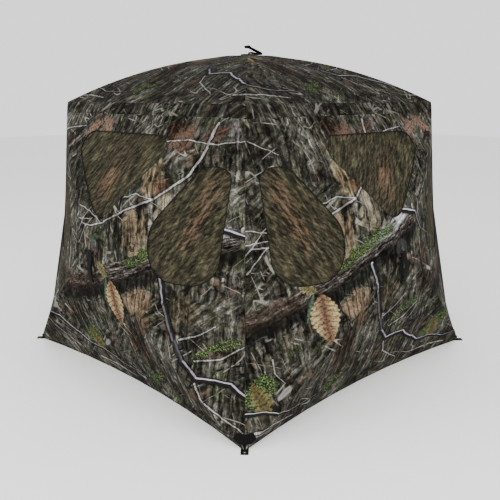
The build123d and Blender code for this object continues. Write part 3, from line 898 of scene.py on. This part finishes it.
def weave(g, place, pitch):
    """Plain weave as a height from 0 to 1."""
    scaled = g.vector("SCALE", place, scale=2 * math.pi / pitch)
    x, y, _ = g.parts(scaled)
    return g.times(g.math("SINE", x), g.math("SINE", y))


def uv_place(g, layer="print"):
    return g.node("ShaderNodeUVMap", uv_map=layer).outputs[0]


def print_material(name, tree, shift, dark=PRINT_ON_WALLS):
    """The woodland print on cloth, moved along by shift so that each wall has its own part of it."""
    made, g, shader = material(name, 0.95, CLOTH_SPECULAR)
    place = uv_place(g)
    colour = use_group(g, tree, g.moved(place, (shift, 0.0, 0.0)))
    dust = g.noise(place, 3.0, 4.0, 0.6)
    colour = g.paint(colour, rgb(150, 142, 124), g.step(dust, 0.5, 0.75), 0.06)
    g.feed(shader, Base_Color=g.inked(colour, dark))
    wrinkle = g.noise(place, 9.0, 3.0, 0.5)
    height = g.madd(weave(g, place, CLOTH_THREAD), 0.06, wrinkle)
    bumped(g, shader, height, 0.35, 0.004)
    return made


NET_RUST = (
    ((1.065, 0.10), (0.042, 0.15), -22),
    ((1.02, -0.02), (0.035, 0.10), -26),
    ((-0.02, -0.10), (0.07, 0.08), -10),
    ((0.03, -0.01), (0.05, 0.09), -25),
)


def net_material():
    """Shoot-through net: its own streaked print, darker and softer than the cloth."""
    made, g, shader = material("window_net", 0.95, CLOTH_SPECULAR)
    place = uv_place(g)
    soft = g.moved(place, g.shift_noise(place, 11.0, 0.022, 4.0, 0.65))
    streak = g.streaks(soft, -30.0, 64.0, 9.0, 6.0, 0.72)
    cross = g.streaks(soft, -52.0, 90.0, 22.0, 5.0, 0.72)
    grain = g.madd(cross, 0.5, g.times(streak, 0.5))
    grain = g.madd(g.minus(g.noise(place, 6.0, 3.0), 0.5), 0.16, grain)
    colour = g.ramp(
        grain,
        (0.38, rgb(12, 12, 9)),
        (0.46, rgb(30, 29, 22)),
        (0.53, rgb(52, 49, 37)),
        (0.60, rgb(80, 76, 58)),
        (0.70, rgb(118, 112, 90)),
    )
    for centre, radii, angle in NET_RUST:
        mask = g.times(g.patch(soft, centre, radii, angle, 0.5), g.step(grain, 0.46, 0.56))
        colour = g.paint(colour, rgb(104, 78, 62), mask, 0.34)
    holes = g.step(weave(g, place, NET_THREAD), 0.1, 0.6)
    colour = g.paint(colour, rgb(12, 12, 10), holes, 0.55)
    g.feed(shader, Base_Color=colour)
    bumped(g, shader, weave(g, place, NET_THREAD), 0.3, 0.0006)
    return made


def object_place(g):
    return g.node("ShaderNodeTexCoord").outputs["Object"]


def lining_material():
    """Black light-proof coating on the inside of the cloth."""
    made, g, shader = material("lining", 0.7)
    place = object_place(g)
    worn = g.noise(place, 12.0, 5.0, 0.6)
    g.feed(shader, Base_Color=g.mix(g.step(worn, 0.45, 0.75), rgb(22, 22, 22), rgb(38, 37, 35)))
    bumped(g, shader, g.noise(place, 60.0, 3.0), 0.2, 0.002)
    return made


def webbing_material():
    """Black webbing and tape with a visible rib."""
    made, g, shader = material("webbing", 0.85, 0.10)
    place = object_place(g)
    rib = g.math("SINE", g.times(g.plus(*g.parts(place)[:2]), 2 * math.pi / RIB))
    rise = g.math("SINE", g.times(g.parts(place)[2], 2 * math.pi / RIB))
    both = g.times(rib, rise)
    dust = g.noise(place, 14.0, 4.0, 0.6)
    base = g.mix(g.step(dust, 0.5, 0.8), rgb(6, 6, 6), rgb(18, 17, 16))
    g.feed(shader, Base_Color=g.paint(base, rgb(20, 20, 19), g.step(both, 0.0, 0.8), 0.3))
    bumped(g, shader, both, 0.5, 0.0006)
    return made


def plastic_material():
    made, g, shader = material("hub_plastic", 0.5)
    place = object_place(g)
    scuff = g.noise(place, 90.0, 6.0, 0.7)
    g.feed(shader, Base_Color=g.mix(g.step(scuff, 0.55, 0.72), rgb(24, 24, 25), rgb(52, 51, 50)))
    g.feed(shader, Roughness=g.madd(scuff, 0.3, 0.38))
    bumped(g, shader, g.noise(place, 900.0, 2.0), 0.15, 0.0003)
    return made


def metal_material(name, colour, roughness):
    made, g, shader = material(name, roughness)
    place = object_place(g)
    wear = g.noise(place, 140.0, 5.0, 0.65)
    g.feed(shader, Metallic=1.0)
    g.feed(shader, Base_Color=g.mix(g.step(wear, 0.52, 0.7), colour, rgb(92, 84, 74)))
    g.feed(shader, Roughness=g.madd(wear, 0.35, roughness - 0.15))
    return made


FERRULE_ENDS = (0.1075, 0.1065)  # distance from the hub over which the ferrule gives way to the rod


def pole_material(face):
    """Black fibreglass rod; the ferrule by the hub is aluminium, the tip cap is plastic."""
    made, g, shader = material(f"pole_{face.name}", 0.35)
    place = object_place(g)
    hub = face.at(face.hub.x, face.hub.y, face.rise)
    away = g.vector("LENGTH", g.vector("SUBTRACT", place, tuple(hub)))
    ferrule = g.step(away, *FERRULE_ENDS)
    fibre = g.noise(place, 420.0, 3.0, 0.6)
    rod = g.mix(g.step(fibre, 0.4, 0.7), rgb(22, 22, 22), rgb(50, 49, 46))
    worn = g.mix(g.step(fibre, 0.5, 0.75), rgb(176, 176, 174), rgb(120, 118, 114))
    g.feed(shader, Base_Color=g.mix(ferrule, rod, worn))
    g.feed(shader, Metallic=ferrule, Roughness=g.madd(fibre, 0.2, 0.25))
    return made


BAR_BARE = (0.0060, 0.0066)  # height over the cloth from which the strap's bar shows bare


def cap_material(face, tree):
    """The hub's outer plate under its patch of printed cloth; the strap's bar stands bare above it."""
    made, g, shader = material(f"cap_{face.name}", 0.8)
    place = object_place(g)
    origin = face.at(0, 0, 0)
    away = g.vector("SUBTRACT", place, tuple(origin))
    across = g.vector("DOT_PRODUCT", away, tuple(face.across))
    up = g.vector("DOT_PRODUCT", away, tuple(face.up))
    out = g.vector("DOT_PRODUCT", away, tuple(face.out))
    shift = WALL_SHIFT.get(face.name, ROOF_SHIFT)
    colour = g.inked(use_group(g, tree, g.point(g.plus(across, shift), up)), PRINT_ON_WALLS)
    bare = g.step(out, *(face.rise + up_by for up_by in BAR_BARE))
    g.feed(shader, Base_Color=g.mix(bare, colour, rgb(20, 20, 21)))
    return made


def zip_material():
    """Zip tape with its coil along the middle."""
    made, g, shader = material("zip_tape", 0.7)
    across, along, _ = g.parts(uv_place(g, "trim"))
    coil = g.step(g.absolute(g.minus(across, 0.5)), 0.16, 0.12)
    teeth = g.step(g.math("SINE", g.times(along, 2 * math.pi / TOOTH)), -0.2, 0.4)
    worn = g.noise(object_place(g), 40.0, 4.0)
    tape = g.mix(g.step(worn, 0.45, 0.7), rgb(22, 22, 22), rgb(40, 39, 36))
    g.feed(shader, Base_Color=g.mix(g.times(coil, teeth), tape, rgb(78, 76, 72)))
    bumped(g, shader, g.times(coil, teeth), 0.6, 0.0015)
    return made


WOODLAND = woodland_group()
PRINTS = {side: print_material(f"camo_{side}", WOODLAND, WALL_SHIFT[side]) for side in WALLS}
ROOF_PRINT = print_material("camo_roof", WOODLAND, ROOF_SHIFT, PRINT_ON_ROOF)
NET = net_material()
LINING = lining_material()
WEBBING = webbing_material()
PLASTIC = plastic_material()
STEEL = metal_material("fastener_steel", rgb(58, 58, 60), 0.45)
EYELET = metal_material("eyelet_metal", rgb(70, 70, 70), 0.45)
ZIP = zip_material()


# ---- cloth panels ----
# Steps and clearances of the cloth's mesh, as shares of its spacing.
EDGE_STEP = 0.6
RIM_ROOM = 0.45
SEAM_ROOM = 0.4
# In metres: reach past the binding, and past the eave's corners. The last is a share of a panel.
RIM_REACH = 0.001
SEAM_PAST = 0.02
WITHIN = 0.01


def edge_place(face, a, p):
    """Place on the roof's print: along the outer edge, and in from it."""
    first, last = face.ends(a)
    edge = (last - first).normalized()
    return ((p - first).dot(edge) - (last - first).length / 2, edge.cross(p - first))


def panel(face, a, hole):
    """One of a face's four cloth panels, with its window or doorway cut out."""
    boundary = panel_boundary(face, a)
    rings, loose = [], row_points(face, a)
    seam_v = EAVE_V - BAND
    if hole:
        edge = dense(hole, SPACING * EDGE_STEP)
        rim = grown(edge, BINDING)
        rings = [edge, rim]
        loose = [p for p in loose if not inside(rim, p) and not near(rim, p, SPACING * RIM_ROOM)]
    if not face.is_roof:
        loose = [p for p in loose if abs(p.y - seam_v) > SPACING * SEAM_ROOM]
        loose += seam_points(face, a, seam_v)
    points, triangles = cut(boundary, rings, loose)
    kept, indices = [], []
    for t in triangles:
        middle = middle_of(points, t)
        if hole and inside(rings[0], middle):
            continue
        kept.append(t)
        is_rim = bool(hole) and inside(rings[1], middle)
        is_band = not face.is_roof and middle.y > seam_v
        indices.append(2 if is_rim else 1 if is_band else 0)
    used = sorted({i for t in kept for i in t})
    renumber = {old: new for new, old in enumerate(used)}
    points = [points[i] for i in used]
    kept = [tuple(renumber[i] for i in t) for t in kept]
    verts, places = [], []
    for p in points:
        raised = 0.0
        if hole and inside(grown(rings[1], RIM_REACH), p):
            raised = BINDING_RAISED
        if not face.is_roof and seam_v - NEARLY < p.y < EAVE_V - NEARLY:
            raised = BAND_RAISED
        verts.append(face.surface(a, p, raised))
        places.append(edge_place(face, a, p) if face.is_roof else (p.x, p.y))
    cloth = ROOF_PRINT if face.is_roof else PRINTS[face.name]
    materials = [cloth, ROOF_PRINT, WEBBING, LINING, LINING, LINING]
    obj = mesh_object(f"cloth_{face.name}_{a + 1}", verts, kept, {"print": places}, materials, indices)
    turn_out(obj, face.out)
    thicken(obj, CLOTH, -1.0, 3)
    declare(obj, face, a)
    return obj


def seam_points(face, a, seam_v):
    """Points along the wall seam inside panel a, so that the strip above it has a straight edge."""
    points = []
    width = EAVE_HALF + SEAM_PAST
    n = int(2 * width / SPACING)
    for j in range(n + 1):
        p = Vector((-width + 2 * width * j / n, seam_v))
        s, t = face.share(a, p)
        if WITHIN < s < 1 - WITHIN and t > WITHIN and face.panel_of(p) == a:
            points.append(p)
    return points


def net(face, a, hole):
    """The net behind a window, lapped by the cloth all round."""
    points, kept, verts = filled(face, a, dense(grown(hole, NET_LAP), SPACING), -NET_IN)
    centre = mean(hole)
    flip = -1.0 if a == 3 else 1.0
    beside = 0.0 if a == 2 else 1.0
    places = [((p.x - centre.x) * flip + beside, p.y - centre.y) for p in points]
    obj = mesh_object(f"net_{face.name}_{a + 1}", verts, kept, {"print": places}, [NET, LINING])
    turn_out(obj, face.out)
    thicken(obj, NET_THICK, -1.0, 1)
    declare(obj, face, a)
    return obj


def surface_depth(face, p, depth):
    """The place at a depth inside the cloth over a flat point."""
    a = face.panel_of(p)
    return face.surface(a, face.to_flat(a, p), -depth)


ROLL_TURNS = 3.2
ROLL_INNER = 0.005
ROLL_PITCH = 0.0033
ROLL_DEPTH = 0.026
ROLL_CLOTH = 0.0007
ROLL_STEPS = 44
ROLL_ROWS = 10
ROLL_LOOSE = 0.05
ROLL_WAVE = 7
TIES_AT = (0.2, 0.8)
TIE_R = 0.0175
TIE_HALF = 0.0018


def cover_roll(face, index, ends):
    """A window cover rolled up from its far edge, as a real spiral of cloth, with its two ties."""
    first, last = Vector(ends[0]), Vector(ends[1])
    way = surface_depth(face, last, ROLL_DEPTH) - surface_depth(face, first, ROLL_DEPTH)
    other = way.normalized().cross(face.out).normalized()
    verts = []
    for j in range(ROLL_ROWS + 1):
        centre = surface_depth(face, first.lerp(last, j / ROLL_ROWS), ROLL_DEPTH)
        for i in range(ROLL_STEPS + 1):
            angle = 2 * math.pi * ROLL_TURNS * i / ROLL_STEPS
            radius = ROLL_INNER + ROLL_PITCH * angle / (2 * math.pi)
            radius *= 1 + ROLL_LOOSE * math.sin(ROLL_WAVE * j / ROLL_ROWS + index)
            verts.append(centre + (face.out * math.cos(angle) + other * math.sin(angle)) * radius)
    faces = grid_faces(ROLL_ROWS, ROLL_STEPS)
    places = [(v.x, v.z) for v in verts]
    obj = mesh_object(f"cover_{face.name}_{index}", verts, faces, {"print": places}, [LINING])
    thicken(obj, ROLL_CLOTH, 0.0)
    start, end = face.blend_ends(face.panel_of(first.lerp(last, 0.5)))
    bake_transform(obj)
    for k, at in enumerate(TIES_AT):
        bpy.ops.mesh.primitive_torus_add(
            major_radius=TIE_R, minor_radius=TIE_HALF, major_segments=28, minor_segments=6
        )
        tie = bpy.context.object
        tie.name = f"tie_{face.name}_{index}_{k + 1}"
        tie.data.name = tie.name
        tie.rotation_euler = way.to_track_quat("Z", "Y").to_euler()
        tie.location = surface_depth(face, first.lerp(last, at), ROLL_DEPTH)
        tie.data.materials.append(WEBBING)
        bpy.context.view_layer.update()
        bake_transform(tie)
    return obj


for face in FACES.values():
    holes = holes_in(face)
    for a in range(4):
        cloth = panel(face, a, holes.get(a))
        if face.is_roof:
            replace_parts(cloth, "roof")
        else:
            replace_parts(cloth, f"wall_{face.name}", *(("eave_bands",) if a else ()))
        if a in holes and face.name in NETTED:
            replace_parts(net(face, a, holes[a]), f"window_nets_{face.name}")
    if face.name in NETTED:
        for index, ends in enumerate(ROLLS):
            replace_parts(cover_roll(face, index + 1, ends), f"cover_rolls_{face.name}")


# ---- the door ----
DOOR_LAP = 0.008
DOOR_LIFT = 0.0052
ZIP_LIFT = 0.0022
COIL_LIFT = 0.0008
ZIP_THICK = 0.001
ZIP_INSIDE = 0.004
ZIP_STEP = 0.02
DOOR_BEND = (0.018, 0.090)  # distances in from the door's sewn side at which two points on the door are found


def door():
    """The door panel and the zip tape round it; both keep the wall's curve."""
    face = FACES["back"]
    a = 1
    hole = [face.to_flat(a, p) for p in rounded(DOORWAY, DOORWAY_R)]
    points, kept, verts = filled(face, a, dense(grown(hole, DOOR_LAP), SPACING), DOOR_LIFT)
    places = [(p.x, p.y) for p in points]
    obj = mesh_object("door_cloth", verts, kept, {"print": places}, [PRINTS["back"], LINING])
    turn_out(obj, face.out)
    thicken(obj, CLOTH, -1.0, 1)
    declare(obj, face, None)
    top, low, point = (Vector(p) for p in DOORWAY)
    seam = (low - top).normalized()
    inward = (point - top - seam * (point - top).dot(seam)).normalized()
    fixed, free = ((top + low) / 2 + inward * by for by in DOOR_BEND)
    face.at(fixed.x, fixed.y, 0)
    face.at(free.x, free.y, 0)
    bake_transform(obj)
    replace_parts(obj, "door_panel")

    inner_ring = dense(grown(hole, -ZIP_INSIDE), ZIP_STEP)
    outer_ring = grown(inner_ring, ZIP_LAP + ZIP_INSIDE)
    verts, trim = [], []
    walked = 0.0
    count = len(inner_ring)
    for i in range(count + 1):
        p, q = inner_ring[i % count], outer_ring[i % count]
        if i:
            walked += (p - inner_ring[i - 1]).length
        for k, share in enumerate((0.0, 0.5, 1.0)):
            lift = ZIP_LIFT + (COIL_LIFT if k == 1 else 0.0)
            verts.append(face.surface(a, p.lerp(q, share), lift))
            trim.append((share, walked))
    tape = mesh_object("zip_round_door", verts, grid_faces(count, 2), {"trim": trim}, [ZIP, LINING])
    turn_out(tape, face.out)
    thicken(tape, ZIP_THICK, -1.0, 1)
    start, end = face.blend_ends(a)
    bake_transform(tape)
    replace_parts(tape, "door_zip")


door()


# ---- straps ----
STRAP_HALF = 0.015
BAR_UP = 0.0006 + 0.005 + 0.009  # over the cloth: the gap under the cap, its plate, and its bar
BAR_DROP = 0.020
ROOF_BAR_AT = 0.016
STRAP_TURN = 0.0036
STRAP_GAP = 0.0014
STRAP_THICK = 0.0016
STRAP_STEPS = 8
TURN_ENDS = 0.125  # share of the strap over which its turn round the bar closes
BELLY_SHAPE = 1.2
END_PAST = 0.4
RING_AT = 0.93  # middle of the small ring at the strap's end, as a share of its length
RING_HALF = 0.07
# Along the strap from its bar: (sideways, along, away from the cloth), and half the loop's opening.
HANGING = ((0, 0, 0), (0, 0.040, 0.004), (0, 0.085, 0.010), (0, 0.120, 0.008), (0, 0.150, 0.002))
LYING = (
    (0, 0, 0),
    (0, 0.035, -0.003),
    (0, 0.068, -0.007),
    (-0.004, 0.074, 0.001),
    (-0.012, 0.040, 0.016),
    (-0.020, 0.010, 0.028),
    (-0.024, -0.012, 0.034),
)
STRAPS = {
    "front": (HANGING, 0.0035, 0.004),
    "right": (HANGING, 0.0150, 0.006),
    "back": (HANGING, 0.0080, 0.005),
    "left": (HANGING, 0.0050, 0.004),
    "roof": (LYING, 0.0022, 0.007),
}


def smooth(points, steps):
    """A smooth path through points, steps samples to a span."""
    ends = [points[0] * 2 - points[1]] + points + [points[-1] * 2 - points[-2]]
    path = []
    for i in range(1, len(ends) - 2):
        a, b, c, d = ends[i - 1 : i + 3]
        for k in range(steps):
            t = k / steps
            leading = 2 * b + (c - a) * t + (2 * a - 5 * b + 4 * c - d) * t**2
            path.append(0.5 * (leading + (3 * b - a - 3 * c + d) * t**3))
    return path + [points[-1]]


def strap_frame(face):
    """(bar centre, along the bar, the way the strap runs, away from the cloth)."""
    centre = face.at(face.hub.x, face.hub.y, face.rise + BAR_UP)
    if face.is_roof:
        way = Vector((0, 1, 0))
        return centre + way * ROOF_BAR_AT, Vector((1, 0, 0)), way, Vector((0, 0, 1))
    bar = face.across
    way = Vector((0, 0, -1))
    return centre - face.up * BAR_DROP, bar, way, (face.out - way * face.out.dot(way)).normalized()


def strap(face):
    """A loop of webbing over the cap's bar."""
    centre, bar, way, out = strap_frame(face)
    shape, swell, end = STRAPS[face.name]
    spine = smooth([centre + bar * x + way * y + out * z for x, y, z in shape], STRAP_STEPS)
    there, back = [], []
    for i, p in enumerate(spine):
        t = i / (len(spine) - 1)
        along = (spine[min(i + 1, len(spine) - 1)] - spine[max(i - 1, 0)]).normalized()
        side = along.cross(bar).normalized()
        ring = end * max(0.0, 1 - ((t - RING_AT) / RING_HALF) ** 2) ** 0.5
        turn = STRAP_TURN * max(0.0, 1 - t / TURN_ENDS)
        belly = swell * math.sin(math.pi * min(1.0, t / RING_AT)) ** BELLY_SHAPE
        gap = max(turn, belly, ring, STRAP_GAP)
        there.append(p + side * gap)
        back.append(p - side * gap)
    first = centre - way * STRAP_TURN
    last = spine[-1] + (spine[-1] - spine[-2]).normalized() * end * END_PAST
    loop = [first] + there + [last] + back[::-1]
    verts, faces = [], []
    for p in loop:
        verts += [p - bar * STRAP_HALF, p + bar * STRAP_HALF]
    count = len(loop)
    for i in range(count):
        j = (i + 1) % count
        faces.append((2 * i, 2 * i + 1, 2 * j + 1, 2 * j))
    obj = mesh_object(f"strap_{face.name}", verts, faces, {}, [WEBBING])
    thicken(obj, STRAP_THICK, 0.0)
    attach(obj, f"strap_{face.name}")
    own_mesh(obj)
    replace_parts(obj, f"pull_strap_{face.name}")


for face in FACES.values():
    strap(face)


# ---- sleeves ----
def loose_parts(mesh):
    """The mesh's separate parts, each as a list of its polygons."""
    parent = list(range(len(mesh.vertices)))

    def root(i):
        while parent[i] != i:
            parent[i] = parent[parent[i]]
            i = parent[i]
        return i

    for edge in mesh.edges:
        a, b = (root(i) for i in edge.vertices)
        parent[a] = b
    parts = {}
    for polygon in mesh.polygons:
        parts.setdefault(root(polygon.vertices[0]), []).append(polygon)
    return parts.values()


def sleeves():
    """The corner sleeves, cut apart so that each turns with the pole whose tip it holds."""
    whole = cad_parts["corner_sleeves"]
    around = {}
    spots = {}
    for pole in (f"pole_{face.name}_{i + 1}" for face in FACES.values() for i in range(4)):
        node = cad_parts[pole]
        spots[pole] = [node.matrix_world @ v.co for v in node.data.vertices]
    for part in loose_parts(whole.data):
        used = sorted({i for polygon in part for i in polygon.vertices})
        verts = [whole.matrix_world @ whole.data.vertices[i].co for i in used]
        middle = mean(verts)
        pole = min(spots, key=lambda name: min((p - middle).length for p in spots[name]))
        held_verts, held_faces = around.setdefault(pole, ([], []))
        renumber = {old: len(held_verts) + new for new, old in enumerate(used)}
        held_verts += verts
        held_faces += [tuple(renumber[i] for i in polygon.vertices) for polygon in part]
    for pole, (verts, faces) in around.items():
        name = pole.replace("pole", "sleeve")
        obj = mesh_object(name, verts, faces, {}, [WEBBING])
        obj.data.set_sharp_from_angle(angle=SHARP_ABOVE)
        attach(obj, pole)
        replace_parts(obj, "corner_sleeves")


sleeves()


# ---- carried-over CAD pieces --------------------------------------------------------------------
def dress(node, made):
    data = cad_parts[node].data
    data.materials.clear()
    data.materials.append(made)


for node in ("hem_tape", "corner_patches", "stake_tabs"):
    dress(node, WEBBING)
dress("stake_eyelets", EYELET)
for face in FACES.values():
    dress(f"hub_{face.name}", PLASTIC)
    dress(f"hub_cap_{face.name}", cap_material(face, WOODLAND))
    dress(f"hub_fasteners_{face.name}", STEEL)
    poles = pole_material(face)
    for corner in range(4):
        dress(f"pole_{face.name}_{corner + 1}", poles)


# ---- floor, light, camera ----
LAMP_SIZE = 4.0
LAMPS = (
    ("key", (3.6, -5.0, 5.0), 330.0),
    ("fill", (5.6, -1.2, 3.4), 190.0),
    ("left", (-2.5, -5.8, 3.2), 190.0),
)
AIM = Vector((0, 0, 0.7))
FLOOR_Z = -0.0005
SKY = 1.5
CAMERA_AT = (2.6193, -2.5475, 1.4441)
CAMERA_WAY = Vector((-0.69537, 0.67888, -0.23576))
LENS = 45.7


def studio():
    bpy.ops.mesh.primitive_plane_add(size=40.0, location=(0, 0, FLOOR_Z))
    floor = bpy.context.object
    floor.name = "floor"
    made, g, shader = material("floor", 0.9)
    g.feed(shader, Base_Color=(0.86, 0.86, 0.85, 1.0))
    floor.data.materials.append(made)
    for name, place, power in LAMPS:
        lamp = bpy.data.lights.new(name, "AREA")
        lamp.size = LAMP_SIZE
        lamp.energy = power
        obj = bpy.data.objects.new(name, lamp)
        bpy.context.scene.collection.objects.link(obj)
        obj.location = place
        obj.rotation_euler = (AIM - Vector(place)).to_track_quat("-Z", "Y").to_euler()
    world = bpy.data.worlds.new("studio")
    world.use_nodes = True
    sky = world.node_tree.nodes["Background"]
    sky.inputs["Color"].default_value = (1.0, 1.0, 1.0, 1.0)
    sky.inputs["Strength"].default_value = SKY
    bpy.context.scene.world = world


def camera():
    cam = bpy.data.cameras.new("camera")
    cam.sensor_width = 36.0
    cam.lens = LENS
    obj = bpy.data.objects.new("camera", cam)
    bpy.context.scene.collection.objects.link(obj)
    obj.location = CAMERA_AT
    obj.rotation_euler = CAMERA_WAY.to_track_quat("-Z", "Y").to_euler()
    bpy.context.scene.camera = obj


studio()
camera()
